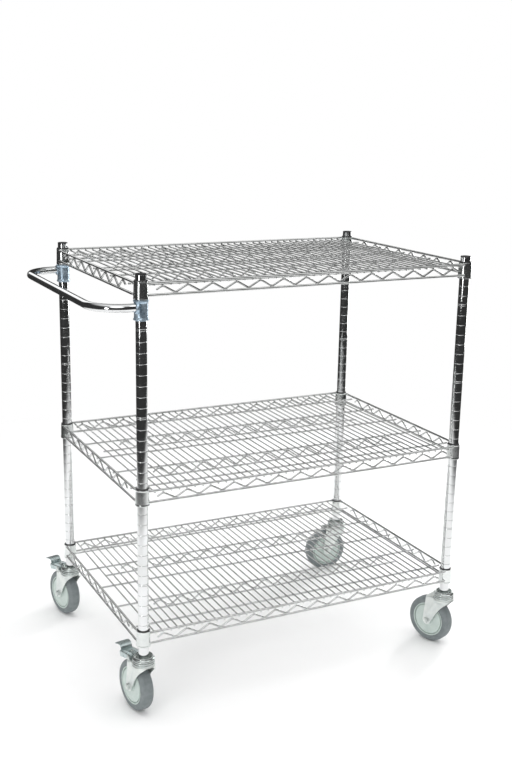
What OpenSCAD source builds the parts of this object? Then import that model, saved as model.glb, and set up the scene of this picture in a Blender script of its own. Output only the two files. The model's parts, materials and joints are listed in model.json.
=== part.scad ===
// Rolling wire-shelf utility cart: three welded wire shelves on four grooved posts, a U handle
// at the left end, and four swivel casters, two of them with a foot brake.
// X runs along the length with the handle at -X, -Y is the front, and the origin is on the
// floor at the centre.

/* [Frame] */
// Distance between post centres along the length
post_gap_x = 878; // [760:1:1200]
// Distance between post centres across the depth
post_gap_y = 580; // [400:1:760]
// Length of a post, foot to cap
post_length = 921; // [900:1:1200]
// Outer diameter of a post
post_d = 25.4; // [24.4:0.1:26.4]
// Spacing of the grooves that the shelf sleeves snap into
groove_pitch = 25.4; // [25:0.1:26]

/* [Shelves] */
// Groove that holds the bottom shelf, counted up from the foot
bottom_groove = 1; // [1:1:4]
// Groove that holds the middle shelf
middle_groove = 15; // [9:1:19]
// Groove that holds the top shelf
top_groove = 34; // [28:1:34]
// Diameter of the rim wires
rim_d = 6; // [5:0.1:7]
// Distance between the centres of the two wires of a rim
rim_depth = 27; // [24:0.5:34]
// Diameter of the zigzag wires
zigzag_d = 4.8; // [4:0.1:5.5]
// Length of one zigzag wave
zigzag_pitch = 60.4; // [54:0.1:66]
// Diameter of the deck wires
deck_d = 3.8; // [3:0.1:4.5]
// Diameter of the long support wires under the deck
support_d = 5; // [4:0.1:6]

/* [Handle] */
// Distance from the posts out to the grip
handle_reach = 104.5; // [95:0.5:140]
// Height of the handle above the floor
handle_z = 1003.5; // [995:0.5:1006]
// Outer diameter of the handle tube
handle_d = 19; // [17:0.5:21]
// Radius of the handle's bends
handle_bend = 78; // [50:1:80]

/* [Casters] */
// Wheel diameter
wheel_d = 127; // [120:1:130]
// Width of the tyre
tyre_w = 32; // [28:1:33]
// Distance from the swivel axis back to the axle
caster_trail = 37; // [34:0.5:40]
// Height of a post's foot above the floor
foot_z = 156.5; // [156:0.5:160]
// Direction in which the front left caster trails
front_left_angle = 99; // [0:1:359]
// Direction in which the front right caster trails
front_right_angle = 110; // [0:1:359]
// Direction in which the back left caster trails
back_left_angle = 103; // [0:1:359]
// Direction in which the back right caster trails
back_right_angle = 174; // [0:1:359]

/* [Hidden] */
$fn = 64;
cut = 0.01;           // how far a cutting shape passes the face that it cuts
fit_gap = 0.1;        // clearance between parts of the frame that slide together
running_gap = 0.05;   // radial clearance of a turning fit
weld = 0.4;           // how far welded wires sink into each other

// Posts
post_r = post_d / 2;
post_wall = 1.2;
groove_w = 2.4;
groove_depth = 0.6;
first_groove = 31.5;
cap_h = 3;
cap_plug_h = 14;
tube_top = post_length - cap_h;
grooves = floor((tube_top - 20 - first_groove) / groove_pitch);
post_x = post_gap_x / 2;
post_y = post_gap_y / 2;

// Corner collars and their split sleeves, from the centre of the top rim wire
rim_above_groove = 5.4;
collar_top = 4;
collar_bottom = -36;
collar_wall = 1.6;
collar_r_top = 16.2;
collar_r_bottom = 17.2;
lip_h = 2.5;
lip_r = 15.6;
sleeve_split = 1.2;

// Shelf wires, from the centre of the top rim wire
rim_out = 12.8;
rim_x = post_x + rim_out;
rim_y = post_y + rim_out;
rim_stop = 11;
deck_z = -(rim_d + deck_d) / 2 + weld;
support_z = deck_z - (deck_d + support_d) / 2 + weld;
zigzag_bend = 9;
bend_swell = 0.06;    // a bend is this much thicker than the straight wire
bend_lap = 0.3;       // how far a straight stretch runs into a bend
valley_z = -rim_depth + (rim_d + zigzag_d) / 2 - 2 * weld;
side_peak_z = deck_z - (deck_d + zigzag_d) / 2 + weld;
end_peak_z = -(rim_d + zigzag_d) / 2 + weld;
side_peaks = 2 * floor(post_gap_x / (2 * zigzag_pitch));
end_peaks = 2 * floor(post_gap_y / (2 * zigzag_pitch));
deck_pitch = zigzag_pitch / 3;
deck_wires = 2 * floor((post_x - collar_r_bottom - deck_d) / deck_pitch + 0.5);
supports = 5;
support_pitch = post_gap_y / (supports - 0.25);
inner_drop = 26;
inner_inset = 60;
inner_d = 5;
inner_peaks = 2 * floor((rim_x - inner_inset) / zigzag_pitch);

// Handle and its brackets
handle_wall = 1.2;
handle_y = post_y + 8;
grip_x = post_x + handle_reach;
bracket_r = 15.8;
bracket_flange_r = 17.6;
bracket_flange_h = 3;
bracket_h = 46;
bracket_z = handle_z - 30;
socket_r = 12.4;
socket_out = 17.4;
socket_in = 13.6;
spigot_out = 25;
screw_d = 6;
screw_key = 3;
screw_z = 10;

// Casters, from the floor
wheel_r = wheel_d / 2;
hub_r = 47;
hub_w = 30;
boss_w = 36;
boss_r = 13;
shoulder_r = 9;
axle_d = 8;
leg_inner = 19;
leg_t = 2.5;
leg_outer = leg_inner + leg_t;
crown_z = 133;
crown_t = 3;
crown_r = 28;
crown_rear = 42;
axle_boss_r = 12.5;
kingpin_d = 12;
race_r = 27.3;
race_top = 146;
race_gap = 0.6;
stem_r = post_r - post_wall - 0.2;
stem_h = 52;
washer_d = 17;
washer_t = 1.2;
hex_t = 5;
hex_d = 15;

// Foot brake, along the trail from the swivel axis
pedal_pivot = [38, 139];
pedal_front = [28.4, 146.3];
pedal_crease = [84, 137.5];
pedal_t = 2;
pedal_w = 37;
pad_w = 39.4;
pad_root_w = 31;
pad_bend = 10.3;
pad_bend_at = pedal_crease + [10.5, 1.5];
pad_tip = pedal_crease + [26, 9.3];
pin_d = 5;
shoe_gap = 5;

// name, X side, Y side, trail direction, has a brake
corners = [
    ["front_left", -1, -1, front_left_angle, true],
    ["front_right", 1, -1, front_right_angle, false],
    ["back_left", -1, 1, back_left_angle, true],
    ["back_right", 1, 1, back_right_angle, false],
];
// name, height of the top rim wire's centre
shelves = [
    ["bottom", shelf_z(bottom_groove)],
    ["middle", shelf_z(middle_groove)],
    ["top", shelf_z(top_groove)],
];
// name, Y side
handle_sides = [["front", -1], ["back", 1]];

NODES = concat(
    [for (c = corners) str("post_", c[0])],
    ["post_caps", "handle_bar", "handle_screws"],
    [for (h = handle_sides) str("handle_bracket_", h[0])],
    [for (s = shelves) for (part = ["front_truss", "back_truss", "left_truss", "right_truss",
        "inner_trusses", "deck", "collars", "sleeves"]) str(s[0], "_", part)],
    [for (c = corners) for (part = ["stem", "fork", "axle", "hub", "tyre"])
        str("caster_", c[0], "_", part)],
    [for (c = corners) if (c[4]) for (part = ["pedal", "shoe", "pin"]) str("brake_", part, "_", c[0])]
);
node = "all";

function shelf_z(groove) = foot_z + first_groove + groove * groove_pitch + rim_above_groove;

// Points of an arc in a plane, ends included
function arc(centre, r, from, to, steps = 8) =
    [for (i = [0 : steps]) centre + r * [cos(from + (to - from) * i / steps),
                                         sin(from + (to - from) * i / steps)]];

// Slope of a zigzag with this half wave, rise and bend radius
function zigzag_slope(half, rise, bend) =
    atan2(half, 2 * bend - rise) - acos(2 * bend / norm([2 * bend - rise, half]));

// Outline of a sheet of thickness t whose middle follows the points
function strip(points, t) =
    let (last = len(points) - 1,
         along = [for (i = [0 : last])
             let (d = points[min(i + 1, last)] - points[max(i - 1, 0)]) d / norm(d)],
         side = [for (i = [0 : last]) t / 2 * [-along[i][1], along[i][0]]])
    concat([for (i = [0 : last]) points[i] + side[i]],
           [for (i = [last : -1 : 0]) points[i] - side[i]]);

// A straight wire along X, centred
module wire_x(d, l) {
    rotate([0, 90, 0]) rotate(45) cylinder(d = d, h = l, center = true);
}

// A straight wire along Y, centred
module wire_y(d, l) {
    rotate([90, 0, 0]) rotate(45) cylinder(d = d, h = l, center = true);
}

// A zigzag wire along X with its peaks at height high and its valleys at height low
module zigzag(peaks, high, low, d) {
    half = zigzag_pitch / 2;
    slope = zigzag_slope(half, high - low, zigzag_bend);
    straight = (half - 2 * zigzag_bend * sin(slope)) / cos(slope) + 2 * bend_lap;
    first = -(peaks - 1) * half;
    for (i = [0 : peaks - 1]) {
        translate([first + 2 * half * i, 0, high - zigzag_bend]) bend_up(slope, d);
    }
    for (i = [0 : peaks - 2]) {
        translate([first + half * (2 * i + 1), 0, low + zigzag_bend]) rotate([0, 180, 0]) bend_up(slope, d);
        translate([first + half * (2 * i + 0.5), 0, (high + low) / 2]) rotate([0, slope, 0]) wire_x(d, straight);
        translate([first + half * (2 * i + 1.5), 0, (high + low) / 2]) rotate([0, -slope, 0]) wire_x(d, straight);
    }
    for (side = [-1, 1]) {
        translate([side * -first, 0, high - zigzag_bend]) rotate([0, side * slope, 0])
            translate([side * (straight / 4 - bend_lap), 0, zigzag_bend]) wire_x(d, straight / 2);
    }
}

// The bend at the top of a wave, centred on the bend's own axis
module bend_up(slope, d) {
    rotate([90, 0, 0]) rotate(90 - slope) rotate_extrude(angle = 2 * slope)
        translate([zigzag_bend, 0]) circle(d = d + bend_swell);
}

module post() {
    profile = concat(
        [[post_r - post_wall, 0], [post_r, 0]],
        [for (i = [0 : grooves]) for (p = [[0, -groove_w / 2], [-groove_depth, -groove_w / 4],
                                           [-groove_depth, groove_w / 4], [0, groove_w / 2]])
            [post_r, first_groove + i * groove_pitch] + p],
        [[post_r, tube_top], [post_r - post_wall, tube_top]]
    );
    color("silver") translate([0, 0, foot_z]) rotate_extrude() polygon(profile);
}

module post_caps() {
    plug_r = post_r - post_wall - fit_gap;
    profile = concat([[0, -cap_plug_h], [plug_r, -cap_plug_h], [plug_r, 0], [post_r, 0]],
                     arc([post_r - 2, cap_h - 2], 2, 0, 90), [[0, cap_h]]);
    color("dimgray") for (c = corners) {
        translate([c[1] * post_x, c[2] * post_y, foot_z + tube_top]) rotate_extrude() polygon(profile);
    }
}

module side_truss(z, side) {
    color("silver") translate([0, side * rim_y, z]) {
        wire_x(rim_d, 2 * (post_x - rim_stop));
        translate([0, 0, -rim_depth]) wire_x(rim_d, 2 * (post_x - rim_stop));
        zigzag(side_peaks, side_peak_z, valley_z, zigzag_d);
    }
}

module end_truss(z, side) {
    color("silver") translate([side * rim_x, 0, z]) rotate(90) {
        wire_x(rim_d, 2 * (post_y - rim_stop));
        translate([0, 0, -rim_depth]) wire_x(rim_d, 2 * (post_y - rim_stop));
        zigzag(end_peaks, end_peak_z, valley_z, zigzag_d);
    }
}

module inner_trusses(z) {
    high = support_z - (support_d + zigzag_d) / 2 + weld;
    chord = support_z - inner_drop;
    low = chord + (inner_d + zigzag_d) / 2 - weld;
    color("silver") for (side = [-1, 1]) translate([0, side * support_pitch, z]) {
        translate([0, 0, chord]) wire_x(inner_d, 2 * (rim_x - inner_inset));
        zigzag(inner_peaks, high, low, zigzag_d);
    }
}

module deck(z) {
    color("silver") translate([0, 0, z]) {
        for (i = [0 : deck_wires - 1]) {
            translate([(i - (deck_wires - 1) / 2) * deck_pitch, 0, deck_z]) wire_y(deck_d, 2 * rim_y + rim_d / 3);
        }
        for (i = [0 : supports - 1]) {
            translate([0, (i - (supports - 1) / 2) * support_pitch, support_z]) wire_x(support_d, 2 * rim_x);
        }
    }
}

module collars(z) {
    profile = [[collar_r_bottom - collar_wall, collar_bottom], [collar_r_bottom, collar_bottom],
               [collar_r_top, collar_top], [collar_r_top - collar_wall, collar_top]];
    color("silver") for (c = corners) {
        translate([c[1] * post_x, c[2] * post_y, z]) rotate_extrude() polygon(profile);
    }
}

module sleeves(z) {
    bore = post_r + fit_gap;
    top_r = collar_r_top - collar_wall - fit_gap;
    bottom_r = collar_r_bottom - collar_wall - fit_gap;
    profile = [[bore, collar_bottom + 1], [bottom_r, collar_bottom + 1], [top_r, collar_top],
               [top_r, collar_top + fit_gap], [lip_r, collar_top + fit_gap],
               [lip_r - 1, collar_top + lip_h], [bore, collar_top + lip_h]];
    color("black") for (c = corners) for (half = [0, 180]) {
        translate([c[1] * post_x, c[2] * post_y, z]) difference() {
            rotate([0, 0, half]) rotate_extrude(angle = 180) polygon(profile);
            translate([0, 0, collar_bottom + 20])
                cube([2 * post_d, sleeve_split, 2 * (collar_top - collar_bottom)], center = true);
        }
    }
}

module tube_section() {
    difference() {
        circle(d = handle_d);
        circle(d = handle_d - 2 * handle_wall);
    }
}

module handle_bar() {
    arm_end = post_x + socket_in + 0.4;
    grip = 2 * (handle_y - handle_bend);
    color("silver") translate([0, 0, handle_z]) {
        translate([-grip_x, grip / 2, 0]) rotate([90, 0, 0]) linear_extrude(grip) tube_section();
        for (side = [-1, 1]) {
            translate([-arm_end, side * handle_y, 0]) rotate([0, -90, 0])
                linear_extrude(grip_x - handle_bend - arm_end) tube_section();
            translate([handle_bend - grip_x, side * (handle_y - handle_bend), 0])
                rotate([0, 0, side > 0 ? 90 : 180])
                rotate_extrude(angle = 90) translate([handle_bend, 0]) tube_section();
        }
    }
}

module handle_bracket(side) {
    arm = handle_z - bracket_z;
    bore = post_r + fit_gap;
    spigot_d = handle_d - 2 * (handle_wall + fit_gap);
    slope = bracket_flange_h + 4;
    profile = [[bore, 0], [bracket_flange_r, 0], [bracket_flange_r, bracket_flange_h], [bracket_r, slope],
               [bracket_r, bracket_h - slope], [bracket_flange_r, bracket_h - bracket_flange_h],
               [bracket_flange_r, bracket_h], [bore, bracket_h]];
    color("lightsteelblue") translate([-post_x, side * post_y, bracket_z]) difference() {
        union() {
            rotate_extrude() polygon(profile);
            translate([0, side * (handle_y - post_y), arm]) rotate([0, -90, 0]) {
                cylinder(r = socket_r, h = socket_out);
                cylinder(d = spigot_d, h = spigot_out);
            }
        }
        translate([0, 0, -cut]) cylinder(r = bore, h = bracket_h + 2 * cut);
        translate([-socket_in, side * (handle_y - post_y), arm]) rotate([0, -90, 0]) difference() {
            cylinder(d = handle_d + 2 * fit_gap, h = socket_out);
            cylinder(d = spigot_d, h = spigot_out);
        }
        translate([0, 0, screw_z]) rotate([0, 90, 0]) cylinder(d = screw_d + fit_gap, h = 2 * bracket_r);
    }
}

module handle_screws() {
    color("dimgray") for (h = handle_sides) {
        translate([-post_x, h[1] * post_y, bracket_z + screw_z]) rotate([0, 90, 0]) {
            translate([0, 0, post_r + fit_gap]) difference() {
                cylinder(d = screw_d, h = bracket_r - post_r - 2 * fit_gap);
                translate([0, 0, 1]) cylinder(d = screw_key, h = bracket_r, $fn = 6);
            }
        }
    }
}

// Moves its children to a caster's swivel axis and turns them along its trail
module at_caster(corner) {
    translate([corner[1] * post_x, corner[2] * post_y, 0]) rotate(corner[3]) children();
}

// Turns a shape made around Z onto the axle
module on_axle() {
    translate([caster_trail, 0, wheel_r]) rotate([90, 0, 0]) children();
}

module caster_stem(corner) {
    under = race_top + race_gap;
    rim = race_top + 11;
    floor = race_top + 6.5;
    shoulder_r = post_r + 0.2;
    profile = [[0, under], [race_r - 2.5, under], [race_r, under + 1.6], [race_r - 0.2, under + 3.8],
               [race_r - 4.7, rim - 3.4], [race_r - 5.1, rim], [race_r - 6.7, rim], [race_r - 7.1, floor],
               [shoulder_r, floor], [shoulder_r, foot_z], [stem_r, foot_z],
               [stem_r, foot_z + stem_h - 2], [stem_r - 2, foot_z + stem_h], [0, foot_z + stem_h]];
    color("lightgray") at_caster(corner) {
        rotate_extrude() polygon(profile);
        translate([0, 0, crown_z - 1]) cylinder(d = kingpin_d, h = race_top + race_gap - crown_z + 2);
        translate([0, 0, crown_z - 3.5]) cylinder(d = kingpin_d + 7, h = 3);
    }
}

// One side plate of the fork, as seen along the axle
module leg_outline(brake) {
    translate([caster_trail, wheel_r]) circle(r = axle_boss_r);
    polygon([[-crown_r, crown_z + crown_t], [crown_rear, crown_z + crown_t],
             [caster_trail + axle_boss_r, wheel_r], [caster_trail - axle_boss_r, wheel_r]]);
    if (brake) {
        translate(pedal_pivot) circle(r = 6);
    }
}

module caster_fork(corner) {
    top = crown_z + crown_t;
    ring = [[0, top - 1], [race_r - 1, top - 1], [race_r - 0.3, top + 1], [race_r, top + 4],
            [race_r - 1.5, top + 5], [race_r - 1.5, top + 6], [race_r - 0.2, top + 7],
            [race_r - 0.2, race_top - 1], [race_r - 1.7, race_top], [0, race_top]];
    // The crown's sides run down into the legs
    gusset = [[leg_inner + 0.5, crown_z - 9], [leg_outer, crown_z - 9], [crown_r, crown_z + 0.5],
              [leg_inner + 0.5, crown_z + 0.5]];
    wrap = acos((leg_inner + leg_t / 2) / (crown_r - leg_t / 2));
    leg_front = -(crown_r - leg_t / 2) * sin(wrap);
    // The front wall stands just inside the crown's edge
    wall_r = crown_r - 0.2;
    sweep_r = 150;
    sweep_at = [-119.6, 12.3];
    color("gainsboro") at_caster(corner) difference() {
        union() {
            translate([0, 0, crown_z]) cylinder(r = crown_r, h = crown_t);
            translate([0, -leg_outer, crown_z]) cube([crown_rear, 2 * leg_outer, crown_t]);
            rotate_extrude() polygon(ring);
            difference() {
                rotate_extrude() polygon(gusset);
                cube([3 * crown_r, 2 * leg_inner + 1, 3 * crown_z], center = true);
            }
            for (side = [-1, 1]) {
                translate([0, side * (leg_inner + leg_t / 2) + leg_t / 2, 0]) rotate([90, 0, 0])
                    linear_extrude(leg_t) intersection() {
                        leg_outline(corner[4]);
                        translate([leg_front, 0]) square([4 * crown_r, 2 * wheel_d]);
                    }
            }
            rotate(90 + wrap) rotate_extrude(angle = 180 - 2 * wrap) translate([wall_r - leg_t, crown_z - 13])
                square([leg_t, 13 + crown_t / 2]);
        }
        translate([sweep_at[0], 0, sweep_at[1]]) rotate([90, 0, 0])
            cylinder(r = sweep_r, h = 3 * crown_r, center = true, $fn = 256);
        cylinder(d = kingpin_d + 2 * running_gap, h = 2 * wheel_d);
        on_axle() cylinder(d = axle_d + 2 * running_gap, h = 3 * leg_outer, center = true);
        if (corner[4]) {
            translate([pedal_pivot[0], 0, pedal_pivot[1]]) rotate([90, 0, 0])
                cylinder(d = pin_d, h = 3 * leg_outer, center = true);
        }
    }
}

module caster_axle(corner) {
    color("silver") at_caster(corner) on_axle() {
        cylinder(d = axle_d, h = 2 * (leg_outer + washer_t + 1), center = true);
        for (side = [-1, 1]) {
            translate([0, 0, side * (leg_outer + washer_t / 2)])
                cylinder(d = washer_d, h = washer_t, center = true);
            translate([0, 0, side * (leg_outer + washer_t + hex_t / 2)])
                cylinder(d = hex_d, h = hex_t, center = true, $fn = 6);
        }
    }
}

module caster_hub(corner) {
    half = [[axle_d / 2 + running_gap, boss_w / 2], [boss_r - 1, boss_w / 2], [boss_r, boss_w / 2 - 1],
            [boss_r + 1, hub_w / 2 - 1.5], [41, hub_w / 2 - 0.5], [41.3, hub_w / 2 - 5.5],
            [43.9, hub_w / 2 - 5.5], [44.2, hub_w / 2], [hub_r, hub_w / 2]];
    mirrored = [for (i = [len(half) - 1 : -1 : 0]) [half[i][0], -half[i][1]]];
    color("darkseagreen") at_caster(corner) on_axle() rotate_extrude() polygon(concat(half, mirrored));
}

module caster_tyre(corner) {
    edge = wheel_r - shoulder_r;
    half_w = tyre_w / 2;
    profile = concat(
        [[hub_r, -half_w + 1], [hub_r + 1, -half_w]],
        arc([edge, shoulder_r - half_w], shoulder_r, -90, 0),
        arc([edge, half_w - shoulder_r], shoulder_r, 0, 90),
        [[hub_r + 1, half_w], [hub_r, half_w - 1]]
    );
    color("gray") at_caster(corner) on_axle() rotate_extrude() polygon(profile);
}

module brake_pedal(corner) {
    pad = concat([pedal_crease], arc(pad_bend_at, pad_bend, 175, 81), [pad_tip]);
    pad_plan = [[pedal_crease[0] - 3, pad_root_w / 2], [pedal_crease[0] + 3, pad_root_w / 2],
                [pad_tip[0] + 1, pad_w / 2]];
    arm = [pedal_front, pedal_crease, pedal_crease + [-2, -14.5], [46, 131.2], [43.5, crown_z + 4.2],
           [32, crown_z + 4.2], [pedal_front[0], 140]];
    flange_t = 1.6;
    color("gainsboro") at_caster(corner) difference() {
        union() {
            intersection() {
                translate([0, pad_w / 2, 0]) rotate([90, 0, 0]) linear_extrude(pad_w)
                    polygon(strip(pad, pedal_t));
                linear_extrude(2 * crown_z)
                    polygon(concat(pad_plan, [for (i = [2 : -1 : 0]) [pad_plan[i][0], -pad_plan[i][1]]]));
            }
            translate([0, pedal_w / 2, 0]) rotate([90, 0, 0]) linear_extrude(pedal_w)
                polygon(strip([pedal_front, pedal_crease], pedal_t));
            for (side = [-1, 1]) {
                translate([0, side * (pedal_w - flange_t) / 2 + flange_t / 2, 0]) rotate([90, 0, 0])
                    linear_extrude(flange_t) polygon(arm);
            }
        }
        translate([pedal_pivot[0], 0, pedal_pivot[1]]) rotate([90, 0, 0])
            cylinder(d = pin_d + 2 * running_gap, h = 2 * pedal_w, center = true);
    }
}

module brake_shoe(corner) {
    fall = (pedal_crease[1] - pedal_front[1]) / (pedal_crease[0] - pedal_front[0]);
    under = norm([1, fall]) * pedal_t / 2;
    top = function (x) pedal_front[1] + fall * (x - pedal_front[0]) - under;
    color("dimgray") at_caster(corner) translate([0, 12, 0]) rotate([90, 0, 0]) linear_extrude(24) difference() {
        polygon([[50, top(50)], [66, top(66)], [66, wheel_r + 40], [50, wheel_r + 40]]);
        translate([caster_trail, wheel_r]) circle(r = wheel_r + shoe_gap, $fn = 128);
    }
}

module brake_pin(corner) {
    color("silver") at_caster(corner) translate([pedal_pivot[0], 0, pedal_pivot[1]]) rotate([90, 0, 0]) {
        cylinder(d = pin_d, h = 2 * (leg_outer + 1), center = true);
        for (side = [-1, 1]) {
            translate([0, 0, side * (leg_outer + 0.75)]) cylinder(d = pin_d + 3, h = 1.5, center = true);
        }
    }
}

function wanted(name) = node == "all" || node == name;

for (c = corners) {
    if (wanted(str("post_", c[0]))) translate([c[1] * post_x, c[2] * post_y, 0]) post();
    if (wanted(str("caster_", c[0], "_stem"))) caster_stem(c);
    if (wanted(str("caster_", c[0], "_fork"))) caster_fork(c);
    if (wanted(str("caster_", c[0], "_axle"))) caster_axle(c);
    if (wanted(str("caster_", c[0], "_hub"))) caster_hub(c);
    if (wanted(str("caster_", c[0], "_tyre"))) caster_tyre(c);
    if (c[4] && wanted(str("brake_pedal_", c[0]))) brake_pedal(c);
    if (c[4] && wanted(str("brake_shoe_", c[0]))) brake_shoe(c);
    if (c[4] && wanted(str("brake_pin_", c[0]))) brake_pin(c);
}
if (wanted("post_caps")) post_caps();
if (wanted("handle_bar")) handle_bar();
if (wanted("handle_screws")) handle_screws();
for (h = handle_sides) {
    if (wanted(str("handle_bracket_", h[0]))) handle_bracket(h[1]);
}
for (s = shelves) {
    if (wanted(str(s[0], "_front_truss"))) side_truss(s[1], -1);
    if (wanted(str(s[0], "_back_truss"))) side_truss(s[1], 1);
    if (wanted(str(s[0], "_left_truss"))) end_truss(s[1], -1);
    if (wanted(str(s[0], "_right_truss"))) end_truss(s[1], 1);
    if (wanted(str(s[0], "_inner_trusses"))) inner_trusses(s[1]);
    if (wanted(str(s[0], "_deck"))) deck(s[1]);
    if (wanted(str(s[0], "_collars"))) collars(s[1]);
    if (wanted(str(s[0], "_sleeves"))) sleeves(s[1]);
}
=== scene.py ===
"""Looks of the rolling wire-shelf cart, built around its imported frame. Metres, +Z up."""

import json
import math

import bmesh
import bpy
from mathutils import Matrix, Vector


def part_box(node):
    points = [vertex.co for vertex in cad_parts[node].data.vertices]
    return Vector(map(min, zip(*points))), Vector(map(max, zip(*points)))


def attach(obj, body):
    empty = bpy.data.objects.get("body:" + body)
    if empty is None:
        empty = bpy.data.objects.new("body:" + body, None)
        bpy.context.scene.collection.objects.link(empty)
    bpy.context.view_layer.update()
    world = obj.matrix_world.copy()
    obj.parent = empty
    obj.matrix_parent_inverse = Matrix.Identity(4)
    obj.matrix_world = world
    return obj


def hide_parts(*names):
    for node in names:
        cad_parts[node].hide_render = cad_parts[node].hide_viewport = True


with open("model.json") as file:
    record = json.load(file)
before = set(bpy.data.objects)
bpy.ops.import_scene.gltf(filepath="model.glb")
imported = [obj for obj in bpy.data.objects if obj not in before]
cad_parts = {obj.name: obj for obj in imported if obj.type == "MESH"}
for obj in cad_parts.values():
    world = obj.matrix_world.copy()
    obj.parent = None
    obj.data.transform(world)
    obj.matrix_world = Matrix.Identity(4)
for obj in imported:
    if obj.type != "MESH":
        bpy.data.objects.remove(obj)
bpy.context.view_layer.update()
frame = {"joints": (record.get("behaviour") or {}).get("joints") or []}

MM = 0.001
SHELVES = ("bottom", "middle", "top")
CORNERS = ("front_left", "front_right", "back_left", "back_right")
BRAKED = ("front_left", "back_left")

# ---------------- sizes, from the frame


def centre(node):
    lo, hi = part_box(node)
    return (lo + hi) / 2


def joint(name):
    return next(j for j in frame["joints"] if j["name"] == name)


POST_AT = {c: Vector((centre(f"post_{c}").x, centre(f"post_{c}").y, 0)) for c in CORNERS}
POST_X = POST_AT["back_right"].x
POST_Y = POST_AT["back_right"].y
POST_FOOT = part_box("post_back_right")[0].z
POST_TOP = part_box("post_back_right")[1].z
POST_R = 12.7 * MM
GROOVE_PITCH = 25.4 * MM
FIRST_GROOVE = 31.5 * MM
GROOVES = 34
BOLD_EVERY = 8

RIM_R = 3.0 * MM
RIM_DEPTH = 27.0 * MM
ZIGZAG_R = 2.4 * MM
ZIGZAG_PITCH = 60.4 * MM
ZIGZAG_BEND = 9.0 * MM
DECK_R = 1.9 * MM
SUPPORT_R = 2.5 * MM
INNER_R = 2.5 * MM
WELD = 0.4 * MM
RIM_NUGGET = (3.4 * MM, 1.9 * MM, 1.1 * MM)
BRACE_NUGGET = (3.2 * MM, 1.7 * MM, 1.0 * MM)
DECK_NUGGET = (1.5 * MM, 1.5 * MM, 0.9 * MM)
COLLAR_NUGGET = (3.0 * MM, 2.6 * MM, 3.3 * MM)
RIM_Z = {s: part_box(f"{s}_front_truss")[1].z - RIM_R for s in SHELVES}
RIM_Y = -centre("top_front_truss").y
RIM_X = centre("top_right_truss").x
DECK_Z = -(RIM_R + DECK_R) + WELD
SUPPORT_Z = DECK_Z - (DECK_R + SUPPORT_R) + WELD
VALLEY_Z = -RIM_DEPTH + RIM_R + ZIGZAG_R - 2 * WELD
SIDE_PEAK_Z = DECK_Z - (DECK_R + ZIGZAG_R) + WELD
END_PEAK_Z = -(RIM_R + ZIGZAG_R) + WELD
INNER_PEAK_Z = SUPPORT_Z - (SUPPORT_R + ZIGZAG_R) + WELD
INNER_CHORD_Z = SUPPORT_Z - 26.0 * MM
INNER_VALLEY_Z = INNER_CHORD_Z + INNER_R + ZIGZAG_R - WELD
INNER_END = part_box("top_inner_trusses")[1].x
SIDE_PEAKS = 14
END_PEAKS = 8
INNER_PEAKS = 12
DECK_PITCH = ZIGZAG_PITCH / 3
DECK_WIRES = 42
SUPPORTS = 5
SUPPORT_PITCH = 2 * POST_Y / 4.75

WHEEL_R = 63.5 * MM
TRAIL = 37.0 * MM
TYRE_W = 32.0 * MM
CROWN_TOP = 136.0 * MM
RACE_TOP = 146.0 * MM
LEG_INNER = 19.0 * MM
LEG_OUTER = 21.5 * MM
LEG_T = LEG_OUTER - LEG_INNER
CROWN_R = 28.0 * MM
CROWN_REAR = 42.0 * MM
AXLE_BOSS_R = 12.5 * MM
SWEEP_R = 150.0 * MM
SWEEP_AT = (-119.6 * MM, 12.3 * MM)
FORK_BEND = 3.0 * MM
FRONT_STEPS = 14
SHOULDER_FOOT = 122.0 * MM
PIVOT = (38.0 * MM, 139.0 * MM)
PAN_FRONT = Vector((28.4 * MM, 146.3 * MM))
CREASE = Vector((84.0 * MM, 137.5 * MM))

# ---------------- shape tools


def fillet(points, radius, steps=4, closed=False):
    """The outline with every corner rounded, by less where its sides are short."""
    points = [Vector(p) for p in points]
    count = len(points)
    out = []
    for i, p in enumerate(points):
        if not closed and i in (0, count - 1):
            out.append(p)
            continue
        before = points[i - 1] - p
        after = points[(i + 1) % count] - p
        reach = min(radius, 0.45 * before.length, 0.45 * after.length)
        a = p + before.normalized() * reach
        b = p + after.normalized() * reach
        for k in range(steps + 1):
            t = k / steps
            out.append(a * (1 - t) ** 2 + p * 2 * t * (1 - t) + b * t * t)
    return out


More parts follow.
